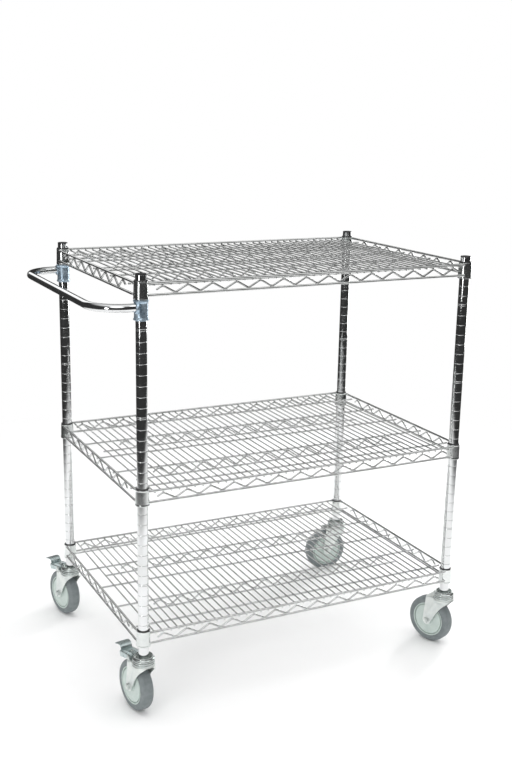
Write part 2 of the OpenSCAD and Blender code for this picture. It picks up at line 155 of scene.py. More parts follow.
class Shape:
    """Collects faces for one object."""

    def __init__(self):
        self.verts = []
        self.faces = []

    def add(self, verts, faces, matrix=None):
        start = len(self.verts)
        if matrix is None:
            self.verts += [Vector(v) for v in verts]
        else:
            self.verts += [matrix @ Vector(v) for v in verts]
        self.faces += [tuple(start + i for i in f) for f in faces]

    def lathe(self, profile, matrix=None, segments=48, closed=False, sweep=360.0):
        """Turns (radius, height) points round Z. closed joins the last point to the first."""
        full = sweep >= 360.0
        rings = segments if full else segments + 1
        count = len(profile)
        verts = []
        for s in range(rings):
            a = math.radians(sweep) * s / segments
            verts += [(r * math.cos(a), r * math.sin(a), z) for r, z in profile]
        faces = []
        for s in range(segments):
            n = (s + 1) % rings
            for i in range(count if closed else count - 1):
                j = (i + 1) % count
                faces.append((s * count + i, n * count + i, n * count + j, s * count + j))
        if not full:
            faces.append(tuple(range(count)))
            faces.append(tuple(reversed([segments * count + i for i in range(count)])))
        self.add(verts, faces, matrix)

    def tube(self, path, radius, sides=12, chamfer=0.3):
        """A round bar along a path, with its two ends chamfered."""
        path = [Vector(p) for p in path]
        first = (path[1] - path[0]).normalized()
        last = (path[-1] - path[-2]).normalized()
        cut = chamfer * radius
        stations = [(path[0], radius - cut), (path[0] + first * cut, radius)]
        stations += [(p, radius) for p in path[1:-1]]
        stations += [(path[-1] - last * cut, radius), (path[-1], radius - cut)]
        side = first.orthogonal().normalized()
        verts = []
        for i, (p, r) in enumerate(stations):
            a = stations[max(i - 1, 0)][0]
            b = stations[min(i + 1, len(stations) - 1)][0]
            along = (b - a).normalized()
            side = (side - along * side.dot(along)).normalized()
            other = along.cross(side)
            for k in range(sides):
                t = math.tau * k / sides
                verts.append(p + (side * math.cos(t) + other * math.sin(t)) * r)
        faces = []
        for i in range(len(stations) - 1):
            for k in range(sides):
                n = (k + 1) % sides
                faces.append((i * sides + k, i * sides + n, (i + 1) * sides + n, (i + 1) * sides + k))
        faces.append(tuple(reversed(range(sides))))
        faces.append(tuple(range((len(stations) - 1) * sides, len(stations) * sides)))
        self.add(verts, faces)

    def blob(self, at, size, sides=10, rings=5):
        """A weld nugget: a small ellipsoid of these half sizes."""
        x, y, z = at
        verts = [(x, y, z - size[2])]
        for i in range(1, rings):
            lift = math.pi * i / rings
            for k in range(sides):
                t = math.tau * k / sides
                verts.append((x + size[0] * math.sin(lift) * math.cos(t),
                              y + size[1] * math.sin(lift) * math.sin(t),
                              z - size[2] * math.cos(lift)))
        verts.append((x, y, z + size[2]))
        top = len(verts) - 1
        faces = []
        for k in range(sides):
            n = (k + 1) % sides
            faces.append((0, 1 + n, 1 + k))
            faces.append((top, top - sides + k, top - sides + n))
            for i in range(rings - 2):
                base = 1 + i * sides
                faces.append((base + k, base + n, base + sides + n, base + sides + k))
        self.add(verts, faces)

    def plate(self, outline, thickness, matrix=None):
        """A flat plate: the outline lies in XZ and the thickness is centred on Y."""
        count = len(outline)
        half = thickness / 2
        verts = [(x, -half, z) for x, z in outline] + [(x, half, z) for x, z in outline]
        faces = [tuple(range(count)), tuple(reversed(range(count, 2 * count)))]
        faces += [((i + 1) % count, i, count + i, count + (i + 1) % count) for i in range(count)]
        self.add(verts, faces, matrix)

    def grid(self, rows, matrix=None, closed=False):
        """A sheet through rows of points, all of the same length."""
        wide = len(rows[0])
        verts = [p for row in rows for p in row]
        faces = []
        for i in range(len(rows) - 1):
            for k in range(wide if closed else wide - 1):
                n = (k + 1) % wide
                faces.append((i * wide + k, i * wide + n, (i + 1) * wide + n, (i + 1) * wide + k))
        self.add(verts, faces, matrix)

    def build(self, name, look, body, nodes, sharp=38.0, thickness=0.0, bevel=0.0):
        """Makes the object, gives it its material and rides it on its body."""
        mesh = bpy.data.meshes.new(name)
        mesh.from_pydata(self.verts, [], self.faces)
        work = bmesh.new()
        work.from_mesh(mesh)
        bmesh.ops.remove_doubles(work, verts=work.verts, dist=1e-6)
        bmesh.ops.dissolve_degenerate(work, edges=work.edges, dist=1e-7)
        bmesh.ops.recalc_face_normals(work, faces=work.faces)
        work.to_mesh(mesh)
        work.free()
        mesh.polygons.foreach_set("use_smooth", [True] * len(mesh.polygons))
        mesh.set_sharp_from_angle(angle=math.radians(sharp))
        material, slot = look
        mesh.materials.append(material)
        made = bpy.data.objects.new(name, mesh)
        bpy.context.scene.collection.objects.link(made)
        if thickness:
            solid = made.modifiers.new("sheet", "SOLIDIFY")
            solid.thickness = thickness
            solid.offset = 0.0
            solid.use_even_offset = True
        if bevel:
            edge = made.modifiers.new("edges", "BEVEL")
            edge.width = bevel
            edge.segments = 2
            edge.limit_method = "ANGLE"
            edge.angle_limit = math.radians(40.0)
            edge.harden_normals = True
        flat = made.modifiers.new("normals", "WEIGHTED_NORMAL")
        flat.keep_sharp = True
        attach(made, body)
        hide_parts(*nodes)
        return made


def arc(at, radius, start, end, steps=8):
    """Points of an arc in a plane, ends included, angles in degrees."""
    out = []
    for i in range(steps + 1):
        a = math.radians(start + (end - start) * i / steps)
        out.append(Vector((at[0] + radius * math.cos(a), at[1] + radius * math.sin(a))))
    return out


# ---------------- materials


def shader(name, colour, metallic, roughness):
    """A plain material and its surface node, for the others to vary."""
    material = bpy.data.materials.new(name)
    material.use_nodes = True
    nodes = material.node_tree.nodes
    surface = nodes["Principled BSDF"]
    surface.inputs["Base Color"].default_value = (*colour, 1.0)
    surface.inputs["Metallic"].default_value = metallic
    surface.inputs["Roughness"].default_value = roughness
    material.diffuse_color = (*colour, 1.0)
    return material, surface


def noise(material, scale, stretch=(1, 1, 1), detail=4.0, rough=0.55):
    """A noise in object coordinates, stretched along the axes."""
    nodes, links = material.node_tree.nodes, material.node_tree.links
    place = nodes.new("ShaderNodeTexCoord")
    mapping = nodes.new("ShaderNodeMapping")
    mapping.inputs["Scale"].default_value = stretch
    texture = nodes.new("ShaderNodeTexNoise")
    texture.inputs["Scale"].default_value = scale
    texture.inputs["Detail"].default_value = detail
    texture.inputs["Roughness"].default_value = rough
    links.new(place.outputs["Object"], mapping.inputs["Vector"])
    links.new(mapping.outputs["Vector"], texture.inputs["Vector"])
    return texture.outputs["Fac"]


def vary_roughness(material, surface, source, low, high):
    """Roughness that follows a noise; the range skips the noise's rare ends."""
    nodes, links = material.node_tree.nodes, material.node_tree.links
    spread = nodes.new("ShaderNodeMapRange")
    spread.inputs["From Min"].default_value = 0.3
    spread.inputs["From Max"].default_value = 0.7
    spread.inputs["To Min"].default_value = low
    spread.inputs["To Max"].default_value = high
    links.new(source, spread.inputs["Value"])
    links.new(spread.outputs["Result"], surface.inputs["Roughness"])


def vary_colour(material, surface, source, low, high, start=0.35, end=0.7):
    """Colour that goes from low to high with a noise."""
    nodes, links = material.node_tree.nodes, material.node_tree.links
    ramp = nodes.new("ShaderNodeValToRGB")
    ramp.color_ramp.elements[0].position = start
    ramp.color_ramp.elements[0].color = (*low, 1.0)
    ramp.color_ramp.elements[1].position = end
    ramp.color_ramp.elements[1].color = (*high, 1.0)
    links.new(source, ramp.inputs["Fac"])
    links.new(ramp.outputs["Color"], surface.inputs["Base Color"])


def bump(material, surface, source, height, strength):
    """Fine relief in the shading only."""
    nodes, links = material.node_tree.nodes, material.node_tree.links
    relief = nodes.new("ShaderNodeBump")
    relief.inputs["Strength"].default_value = strength
    relief.inputs["Distance"].default_value = height
    links.new(source, relief.inputs["Height"])
    links.new(relief.outputs["Normal"], surface.inputs["Normal"])


def chrome_post():
    """Bright plated tube: faint polishing lines round the tube and dull handling marks."""
    material, surface = shader("chrome_tube", (0.80, 0.81, 0.82), metallic=1.0, roughness=0.07)
    marks = noise(material, scale=14.0, detail=6.0)
    vary_roughness(material, surface, marks, low=0.045, high=0.13)
    vary_colour(material, surface, marks, low=(0.70, 0.71, 0.71), high=(0.84, 0.85, 0.86))
    lines = noise(material, scale=60.0, stretch=(1, 1, 24), detail=2.0)
    bump(material, surface, lines, height=0.02 * MM, strength=0.5)
    return material, "chrome_post"


def chrome_collar():
    """Plated steel collar, duller than the tube because it is left unpolished."""
    material, surface = shader("chrome_collar", (0.78, 0.80, 0.79), metallic=1.0, roughness=0.18)
    marks = noise(material, scale=35.0, detail=6.0)
    vary_roughness(material, surface, marks, low=0.11, high=0.26)
    vary_colour(material, surface, marks, low=(0.66, 0.69, 0.68), high=(0.84, 0.86, 0.85))
    ripple = noise(material, scale=90.0, stretch=(1, 1, 0.4), detail=3.0)
    bump(material, surface, ripple, height=0.12 * MM, strength=0.6)
    return material, "chrome_post"


def chrome_wire():
    """Plated drawn wire: duller than the tube, with fine drawing marks."""
    material, surface = shader("chrome_wire", (0.72, 0.73, 0.73), metallic=1.0, roughness=0.16)
    marks = noise(material, scale=22.0, detail=6.0)
    vary_roughness(material, surface, marks, low=0.10, high=0.24)
    vary_colour(material, surface, marks, low=(0.60, 0.61, 0.60), high=(0.78, 0.79, 0.79))
    grain = noise(material, scale=420.0, detail=2.0)
    bump(material, surface, grain, height=0.03 * MM, strength=0.4)
    return material, "chrome_wire"


def cast_zinc():
    """Die-cast zinc with a bluish plate and the slight orange peel of a casting."""
    material, surface = shader("cast_zinc", (0.48, 0.60, 0.71), metallic=0.82, roughness=0.28)
    patches = noise(material, scale=55.0, detail=5.0)
    vary_roughness(material, surface, patches, low=0.22, high=0.42)
    vary_colour(material, surface, patches, low=(0.38, 0.50, 0.61), high=(0.60, 0.72, 0.82))
    peel = noise(material, scale=900.0, detail=2.0)
    bump(material, surface, peel, height=0.06 * MM, strength=0.6)
    return material, "cast_zinc"


def zinc_steel():
    """Zinc-plated pressed steel: a soft satin grain with slightly warm patches."""
    material, surface = shader("zinc_steel", (0.74, 0.77, 0.75), metallic=0.8, roughness=0.34)
    patches = noise(material, scale=30.0, detail=6.0)
    vary_colour(material, surface, patches, low=(0.66, 0.70, 0.69), high=(0.82, 0.85, 0.82))
    grain = noise(material, scale=260.0, stretch=(1, 1, 0.25), detail=3.0)
    vary_roughness(material, surface, grain, low=0.28, high=0.46)
    bump(material, surface, grain, height=0.02 * MM, strength=0.5)
    return material, "zinc_steel"


def race_steel():
    """Rolled and plated ball races: smoother and darker than the pressed sheet."""
    material, surface = shader("race_steel", (0.56, 0.60, 0.59), metallic=0.9, roughness=0.22)
    patches = noise(material, scale=40.0, detail=6.0)
    vary_colour(material, surface, patches, low=(0.46, 0.50, 0.49), high=(0.66, 0.70, 0.68))
    vary_roughness(material, surface, patches, low=0.16, high=0.28)
    rings = noise(material, scale=120.0, stretch=(1, 1, 10), detail=2.0)
    bump(material, surface, rings, height=0.02 * MM, strength=0.5)
    return material, "zinc_steel"


def pedal_steel():
    """Blue-passivated pressed steel of the pedals, with faint rubbed patches."""
    material, surface = shader("pedal_steel", (0.50, 0.57, 0.57), metallic=0.95, roughness=0.28)
    patches = noise(material, scale=45.0, detail=6.0)
    vary_colour(material, surface, patches, low=(0.42, 0.50, 0.50), high=(0.60, 0.67, 0.67))
    vary_roughness(material, surface, patches, low=0.22, high=0.36)
    grain = noise(material, scale=300.0, detail=3.0)
    bump(material, surface, grain, height=0.02 * MM, strength=0.4)
    return material, "zinc_steel"


def black_plastic():
    """Moulded black plastic with a fine leathery texture."""
    material, surface = shader("black_plastic", (0.02, 0.02, 0.021), metallic=0.0, roughness=0.4)
    grain = noise(material, scale=1400.0, detail=3.0)
    vary_roughness(material, surface, grain, low=0.32, high=0.5)
    bump(material, surface, grain, height=0.05 * MM, strength=0.6)
    return material, "black_plastic"


def hub_plastic():
    """Pale grey-green moulded nylon, faintly mottled."""
    material, surface = shader("hub_nylon", (0.53, 0.61, 0.57), metallic=0.0, roughness=0.42)
    clouds = noise(material, scale=45.0, detail=5.0)
    vary_colour(material, surface, clouds, low=(0.49, 0.57, 0.535), high=(0.56, 0.635, 0.60))
    grain = noise(material, scale=800.0, detail=2.0)
    vary_roughness(material, surface, grain, low=0.36, high=0.5)
    bump(material, surface, grain, height=0.04 * MM, strength=0.4)
    return material, "grey_hub"


def tyre_rubber():
    """Non-marking grey rubber: scuffed, with a little dust in its grain."""
    material, surface = shader("grey_rubber", (0.16, 0.18, 0.18), metallic=0.0, roughness=0.55)
    scuffs = noise(material, scale=70.0, detail=8.0, rough=0.65)
    vary_colour(material, surface, scuffs, low=(0.15, 0.175, 0.18), high=(0.215, 0.24, 0.245))
    grain = noise(material, scale=900.0, detail=4.0)
    vary_roughness(material, surface, grain, low=0.46, high=0.68)
    bump(material, surface, grain, height=0.08 * MM, strength=0.6)
    return material, "grey_tyre"


CHROME = chrome_post()
COLLAR = chrome_collar()
WIRE = chrome_wire()
ZINC = cast_zinc()
STEEL = zinc_steel()
RACE = race_steel()
PEDAL = pedal_steel()
BLACK = black_plastic()
HUB = hub_plastic()
RUBBER = tyre_rubber()

# ---------------- posts and caps


def groove(r, z, wide, deep):
    """The points of one rolled groove in a post's outline, from below to above."""
    return [(r - deep * d, z + wide * w) for w, d in
            ((-0.5, 0.0), (-0.32, 0.45), (-0.12, 1.0), (0.12, 1.0), (0.32, 0.45), (0.5, 0.0))]


def make_post(corner):
    """Open tube with a rolled groove each inch and a second one beside each eighth."""
    tube_wall = 1.2 * MM
    chamfer = 0.3 * MM
    wide, deep = 1.7 * MM, 0.3 * MM
    second = 4.0 * MM
    foot, top = POST_FOOT, POST_TOP
    outline = [(POST_R - tube_wall, foot), (POST_R - chamfer, foot), (POST_R, foot + chamfer)]
    for i in range(GROOVES + 1):
        z = foot + FIRST_GROOVE + i * GROOVE_PITCH
        outline += groove(POST_R, z, wide, deep)
        if i % BOLD_EVERY == BOLD_EVERY - 2:
            outline += groove(POST_R, z + second, wide, deep)
    outline += [(POST_R, top - chamfer), (POST_R - chamfer, top), (POST_R - tube_wall, top)]
    shape = Shape()
    shape.lathe(outline, Matrix.Translation(POST_AT[corner]), segments=48, closed=True)
    shape.build(f"post_tube_{corner}", CHROME, "frame", [f"post_{corner}"], sharp=60.0)


def make_caps():
    """Plug caps: a plug in the tube and a slightly dished head on it."""
    shape = Shape()
    lo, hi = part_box("post_caps")
    plug = POST_R - 1.3 * MM
    dish = 0.7 * MM
    outline = [(0, lo.z), (plug, lo.z), (plug, POST_TOP), (POST_R, POST_TOP), (POST_R, hi.z),
               (POST_R - 4 * MM, hi.z), (POST_R - 5 * MM, hi.z - dish), (0, hi.z - dish)]
    outline = fillet(outline, 0.9 * MM)
    for c in CORNERS:
        shape.lathe(outline, Matrix.Translation(POST_AT[c]), segments=40)
    shape.build("post_cap_plugs", BLACK, "frame", ["post_caps"])


# ---------------- shelves


def zigzag_path(peaks, high, low):
    """A zigzag along X in the XZ plane, with round bends and free ends at mid height."""
    half = ZIGZAG_PITCH / 2
    reach = math.hypot(2 * ZIGZAG_BEND - (high - low), half)
    slope = math.atan2(half, 2 * ZIGZAG_BEND - (high - low)) - math.acos(2 * ZIGZAG_BEND / reach)
    degrees = math.degrees(slope)
    points = []
    for i in range(2 * peaks - 1):
        x = (i - (peaks - 1)) * half
        if i % 2 == 0:
            bend = arc((x, high - ZIGZAG_BEND), ZIGZAG_BEND, 90 + degrees, 90 - degrees, 6)
        else:
            bend = arc((x, low + ZIGZAG_BEND), ZIGZAG_BEND, 270 - degrees, 270 + degrees, 6)
        points += bend
    straight = (half - 2 * ZIGZAG_BEND * math.sin(slope)) / math.cos(slope)
    stub = Vector((math.cos(slope), -math.sin(slope))) * straight / 2
    end = points[-1] + stub
    return [Vector((-end.x, end.y))] + points + [end]


def turned(size):
    """The half sizes of a weld nugget whose bar runs along Y."""
    return (size[1], size[0], size[2])


def straight_x(shape, half, y, z, radius, sides=12):
    """A straight bar along X, centred on the cart."""
    shape.tube([(-half, y, z), (half, y, z)], radius, sides)


def make_side_truss(shelf, name, side):
    """Front or back rim: two long wires, the zigzag between them, and its welds."""
    z = RIM_Z[shelf]
    y = side * RIM_Y
    shape = Shape()
    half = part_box(f"{shelf}_{name}_truss")[1].x
    straight_x(shape, half, y, z, RIM_R, 16)
    straight_x(shape, half, y, z - RIM_DEPTH, RIM_R, 16)
    path = zigzag_path(SIDE_PEAKS, SIDE_PEAK_Z, VALLEY_Z)
    shape.tube([(p.x, y, z + p.y) for p in path], ZIGZAG_R, 12)
    for i in range(SIDE_PEAKS - 1):
        x = (i - (SIDE_PEAKS - 2) / 2) * ZIGZAG_PITCH
        shape.blob((x, y, z - RIM_DEPTH + RIM_R), RIM_NUGGET)
    shape.build(f"{shelf}_{name}_rim", WIRE, "frame", [f"{shelf}_{name}_truss"])


def make_end_truss(shelf, name, side):
    """Left or right rim."""
    z = RIM_Z[shelf]
    x = side * RIM_X
    shape = Shape()
    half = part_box(f"{shelf}_{name}_truss")[1].y
    for level in (z, z - RIM_DEPTH):
        shape.tube([(x, -half, level), (x, half, level)], RIM_R, 16)
    path = zigzag_path(END_PEAKS, END_PEAK_Z, VALLEY_Z)
    shape.tube([(x, p.x, z + p.y) for p in path], ZIGZAG_R, 12)
    for i in range(2 * END_PEAKS - 1):
        y = (i - (END_PEAKS - 1)) * ZIGZAG_PITCH / 2
        level = -RIM_R if i % 2 == 0 else RIM_R - RIM_DEPTH
        shape.blob((x, y, z + level), turned(RIM_NUGGET))
    shape.build(f"{shelf}_{name}_rim", WIRE, "frame", [f"{shelf}_{name}_truss"])


def make_inner_trusses(shelf):
    z = RIM_Z[shelf]
    shape = Shape()
    path = zigzag_path(INNER_PEAKS, INNER_PEAK_Z, INNER_VALLEY_Z)
    for side in (-1, 1):
        y = side * SUPPORT_PITCH
        straight_x(shape, INNER_END, y, z + INNER_CHORD_Z, INNER_R)
        shape.tube([(p.x, y, z + p.y) for p in path], ZIGZAG_R, 12)
        for i in range(2 * INNER_PEAKS - 1):
            x = (i - (INNER_PEAKS - 1)) * ZIGZAG_PITCH / 2
            level = SUPPORT_Z - SUPPORT_R if i % 2 == 0 else INNER_CHORD_Z + INNER_R
            shape.blob((x, y, z + level), BRACE_NUGGET)
    shape.build(f"{shelf}_inner_braces", WIRE, "frame", [f"{shelf}_inner_trusses"])


def make_deck(shelf):
    """Deck wires from front to back, welded to the support wires under them and to the rims."""
    z = RIM_Z[shelf]
    shape = Shape()
    half_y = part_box(f"{shelf}_deck")[1].y
    lines = [(i - (SUPPORTS - 1) / 2) * SUPPORT_PITCH for i in range(SUPPORTS)]
    for y in lines:
        straight_x(shape, RIM_X, y, z + SUPPORT_Z, SUPPORT_R)
    for i in range(DECK_WIRES):
        x = (i - (DECK_WIRES - 1) / 2) * DECK_PITCH
        shape.tube([(x, -half_y, z + DECK_Z), (x, half_y, z + DECK_Z)], DECK_R, 12)
        for y in lines:
            shape.blob((x, y, z + DECK_Z - DECK_R), DECK_NUGGET)
        for y in (-RIM_Y, RIM_Y):
            shape.blob((x, y, z + DECK_Z + DECK_R), DECK_NUGGET)
    shape.build(f"{shelf}_deck_wires", WIRE, "frame", [f"{shelf}_deck"])


def make_collars(shelf):
    """Tapered corner collars with rolled lips, and the welds of the rims on them."""
    z = RIM_Z[shelf]
    top, bottom = 4.0 * MM, -36.0 * MM
    inward, outward = 11.0 * MM, 12.6 * MM
    outline = [(15.6 * MM, bottom), (17.4 * MM, bottom), (17.4 * MM, bottom + 3.0 * MM),
               (17.0 * MM, bottom + 4.5 * MM), (16.2 * MM, top - 3.5 * MM),
               (16.5 * MM, top - 2.0 * MM), (16.4 * MM, top), (14.7 * MM, top)]
    outline = fillet(outline, 0.9 * MM, closed=True)
    shape = Shape()
    for c in CORNERS:
        at = POST_AT[c] + Vector((0, 0, z))
        shape.lathe(outline, Matrix.Translation(at), segments=56, closed=True)
        out_x = math.copysign(1, at.x)
        out_y = math.copysign(1, at.y)
        for level in (0.0, -RIM_DEPTH):
            side_rim = Vector((-out_x * inward, out_y * outward, level))
            end_rim = Vector((out_x * outward, -out_y * inward, level))
            shape.blob(at + side_rim, COLLAR_NUGGET)
            shape.blob(at + end_rim, turned(COLLAR_NUGGET))
    shape.build(f"{shelf}_corner_collars", COLLAR, "frame", [f"{shelf}_collars"])


def make_sleeves(shelf):
    """Black split sleeves: two tapered half shells at each post, with a lip above the collar."""
    z = RIM_Z[shelf]
    bore = POST_R + 0.1 * MM
    outline = [(bore, -35.0 * MM), (15.4 * MM, -35.0 * MM), (14.5 * MM, 3.9 * MM), (14.5 * MM, 4.2 * MM),
               (15.7 * MM, 4.2 * MM), (15.4 * MM, 6.0 * MM), (14.2 * MM, 6.6 * MM), (bore, 6.6 * MM)]
    outline = fillet(outline, 0.5 * MM, closed=True)
    shape = Shape()
    split = 5.0
    for c in CORNERS:
        for start in (split / 2, 180.0 + split / 2):
            matrix = Matrix.Translation(POST_AT[c] + Vector((0, 0, z)))
            matrix = matrix @ Matrix.Rotation(math.radians(start), 4, "Z")
            shape.lathe(outline, matrix, segments=28, closed=True, sweep=180.0 - split)
    shape.build(f"{shelf}_split_sleeves", BLACK, "frame", [f"{shelf}_sleeves"])


# ---------------- handle


HANDLE_R = 9.5 * MM
HANDLE_BEND = 78.0 * MM
CASTING_DETAIL = 0.7 * MM
HANDLE_Z = centre("handle_bar").z
GRIP_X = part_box("handle_bar")[0].x + HANDLE_R
HANDLE_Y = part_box("handle_bar")[1].y - HANDLE_R


def make_handle():
    """U-shaped tube with its ends in the two clamps."""
    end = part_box("handle_bar")[1].x
    at = (GRIP_X + HANDLE_BEND, HANDLE_Y - HANDLE_BEND)
    path = [Vector((end, HANDLE_Y))] + arc(at, HANDLE_BEND, 90, 180, 20)
    path += [Vector((p.x, -p.y)) for p in reversed(path)]
    shape = Shape()
    shape.tube([(p.x, p.y, HANDLE_Z) for p in path], HANDLE_R, 36, chamfer=0.05)
    shape.build("push_handle", CHROME, "frame", ["handle_bar"], sharp=60.0)


def make_bracket(name, side):
    """Cast clamp: a flanged collar on the post with a boss that takes the end of the handle."""
    node = f"handle_bracket_{name}"
    lo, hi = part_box(node)
    post = POST_AT[f"{name}_left"]
    height = hi.z - lo.z
    bore = POST_R + 0.1 * MM
    waist, flange = 15.8 * MM, 17.6 * MM
    shape = Shape()
    outline = [(bore, 0), (flange, 0), (flange, 3.0 * MM), (waist, 7.0 * MM), (waist, height - 7.0 * MM),
               (flange, height - 3.0 * MM), (flange, height), (bore, height)]
    outline = fillet(outline, 1.4 * MM, closed=True)
    shape.lathe(outline, Matrix.Translation(post + Vector((0, 0, lo.z))), segments=72, closed=True)
    mouth = Matrix.Translation((post.x, side * HANDLE_Y, HANDLE_Z)) @ Matrix.Rotation(-math.pi / 2, 4, "Y")
    tube_r = HANDLE_R + 0.1 * MM
    boss = [(tube_r, 13.8 * MM), (tube_r, 17.4 * MM), (12.4 * MM, 17.4 * MM), (14.6 * MM, 11.0 * MM),
            (8.0 * MM, 11.0 * MM), (8.0 * MM, 13.8 * MM)]
    boss = fillet(boss, 0.8 * MM, closed=True)
    shape.lathe(boss, mouth, segments=56, closed=True)
    made = shape.build(f"handle_clamp_{name}", ZINC, "frame", [node])
    cast = made.modifiers.new("one casting", "REMESH")
    cast.mode = "VOXEL"
    cast.voxel_size = CASTING_DETAIL
    cast.use_smooth_shade = True
    soft = made.modifiers.new("soft corners", "SMOOTH")
    soft.factor = 0.5
    soft.iterations = 5
    made.modifiers.move(0, 2)  # the normals are weighted last, on the new surface


def make_handle_screws():
    """Headless set screws in the clamps, each with a key socket."""
    shape = Shape()
    z = centre("handle_screws").z
    for side in (-1, 1):
        matrix = Matrix.Translation((-POST_X, side * POST_Y, z)) @ Matrix.Rotation(math.pi / 2, 4, "Y")
        outline = [(0, 12.9 * MM), (2.9 * MM, 12.9 * MM), (2.9 * MM, 15.5 * MM), (1.5 * MM, 15.6 * MM),
                   (1.5 * MM, 14.0 * MM), (0, 13.9 * MM)]
        outline = fillet(outline, 0.3 * MM, steps=3)
        shape.lathe(outline, matrix, segments=30)
    shape.build("clamp_set_screws", STEEL, "frame", ["handle_screws"])


# ---------------- casters


def caster_matrix(corner):
    """Swivel axis at the origin and the trail along +X, moved to where the frame has this caster."""
    axis = Vector(joint(f"wheel_{corner}_roll")["axis"])
    angle = math.atan2(-axis.x, axis.y)
    return Matrix.Translation(POST_AT[corner]) @ Matrix.Rotation(angle, 4, "Z")


AXLE = Matrix.Translation((TRAIL, 0, WHEEL_R)) @ Matrix.Rotation(math.pi / 2, 4, "X")


def make_stem(corner):
    """Stem in the post's foot, the dished upper race round it and the riveted kingpin."""
    shape = Shape()
    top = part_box(f"caster_{corner}_stem")[1].z
    gap = 0.6 * MM
    under = RACE_TOP + gap
    outline = [(0, under), (24.8 * MM, under), (26.9 * MM, 147.3 * MM), (27.2 * MM, 149.0 * MM),
               (26.6 * MM, 151.0 * MM), (23.6 * MM, 153.2 * MM), (22.6 * MM, 155.0 * MM),
               (22.3 * MM, 157.0 * MM), (20.7 * MM, 157.0 * MM), (20.2 * MM, 152.6 * MM),
               (12.9 * MM, 152.6 * MM), (12.9 * MM, POST_FOOT), (11.3 * MM, POST_FOOT),
               (11.3 * MM, top - 2 * MM), (9.3 * MM, top), (0, top)]
    shape.lathe(fillet(outline, 0.8 * MM), caster_matrix(corner), segments=56)
    rivet = [(0, 129.4 * MM), (6.0 * MM, 129.6 * MM), (9.2 * MM, 131.0 * MM), (9.4 * MM, 132.4 * MM),
             (6.0 * MM, 132.6 * MM), (6.0 * MM, RACE_TOP + gap)]
    shape.lathe(fillet(rivet, 0.5 * MM), caster_matrix(corner), segments=40)
    shape.build(f"{corner}_stem_and_race", RACE, "frame", [f"caster_{corner}_stem"])


def clamp(t):
    return max(0.0, min(1.0, t))


def leg_bottom(x):
    """Height of the fork's lower edge at this place along the trail."""
    if x >= TRAIL - AXLE_BOSS_R:
        inside = max(AXLE_BOSS_R ** 2 - (x - TRAIL) ** 2, 0.0)
        return WHEEL_R - math.sqrt(inside)
    reach = SWEEP_R ** 2 - (x - SWEEP_AT[0]) ** 2
    curve = SWEEP_AT[1] + math.sqrt(max(reach, 0.0))
    line_end = TRAIL - AXLE_BOSS_R
    line = WHEEL_R + (line_end - x) / (line_end + CROWN_R) * (CROWN_TOP - WHEEL_R)
    return max(curve, line)


def leg_top(x):
    """Height of the fork's upper edge at this place: the crown, then the sloping rear edge."""
    if x <= CROWN_REAR:
        return CROWN_TOP
    slope = (CROWN_TOP - WHEEL_R) / (TRAIL + AXLE_BOSS_R - CROWN_REAR)
    return CROWN_TOP - (x - CROWN_REAR) * slope


def fork_plan():
    """Half of the fork's wall as seen from above, from the front to the rear of one leg."""
    leg_y = LEG_OUTER - LEG_T / 2
    middle = CROWN_R - LEG_T / 2
    front = arc((0, 0), middle, 180, 180 - math.degrees(math.asin(leg_y / middle)), FRONT_STEPS)
    start = front[-1].x
    rear = TRAIL + AXLE_BOSS_R
    steps = 44
    return front + [Vector((start + (rear - start) * i / steps, leg_y)) for i in range(1, steps + 1)]


def shoulder(x, z):
    """How far a leg's wall flares out below the round crown."""
    round_edge = math.sqrt(max((CROWN_R - LEG_T / 2) ** 2 - x * x, 0.0)) - (LEG_OUTER - LEG_T / 2)
    t = clamp((z - SHOULDER_FOOT) / (CROWN_TOP - FORK_BEND - SHOULDER_FOOT))
    return max(round_edge, 0.0) * t * t * (3 - 2 * t)


def rib_height(x, z):
    """How far the pressed rib of a leg stands out here."""
    top = Vector((10 * MM, 128 * MM))
    foot = Vector((34 * MM, 82 * MM))
    along = foot - top
    t = clamp((Vector((x, z)) - top).dot(along) / along.length_squared)
    away = (Vector((x, z)) - top - along * t).length
    half_width, height = 6.5 * MM, 1.1 * MM
    if away >= half_width:
        return 0.0
    return height * 0.5 * (1 + math.cos(math.pi * away / half_width))


def make_fork(corner):
    """Pressed fork: one sheet bent round the front of the wheel and over its crown."""
    place = caster_matrix(corner)
    shape = Shape()
    plan = fork_plan()
    rows_down, bend_steps = 36, 5
    front_end = 18 * MM
    ordered = [(p, -1) for p in reversed(plan)] + [(p, 1) for p in plan[1:]]
    rows = []
    for k in range(rows_down + 1):
        row = []
        for p, side in ordered:
            low = leg_bottom(p.x)
            high = max(leg_top(p.x) - (FORK_BEND if p.x <= CROWN_REAR else 0.0), low)
            z = low + (high - low) * k / rows_down
            out = rib_height(p.x, z) + shoulder(p.x, z) if p.x > plan[FRONT_STEPS].x else 0.0
            row.append((p.x, side * (p.y + out), z))
        rows.append(row)
    shape.grid(rows, place)
    edge = []
    for k in range(bend_steps + 1):
        turn = math.radians(90 * k / bend_steps)
        height = CROWN_TOP - FORK_BEND + FORK_BEND * math.sin(turn) - LEG_T / 2 * (k / bend_steps)
        row = []
        for p, side in ordered:
            if p.x > CROWN_REAR:
                continue
            wall = Vector((p.x, p.y + shoulder(p.x, CROWN_TOP - FORK_BEND)))
            inward = wall.normalized() if p.x < front_end else Vector((0.0, 1.0))
            q = wall - inward * FORK_BEND * (1 - math.cos(turn))
            row.append((q.x, side * q.y, height))
        edge.append(row)
    shape.grid(edge, place)
    shape.add(edge[-1], [tuple(range(len(edge[-1])))], place)
    shape.build(f"{corner}_fork", STEEL, f"swivel_{corner}", [f"caster_{corner}_fork"],
                thickness=LEG_T, bevel=0.5 * MM)


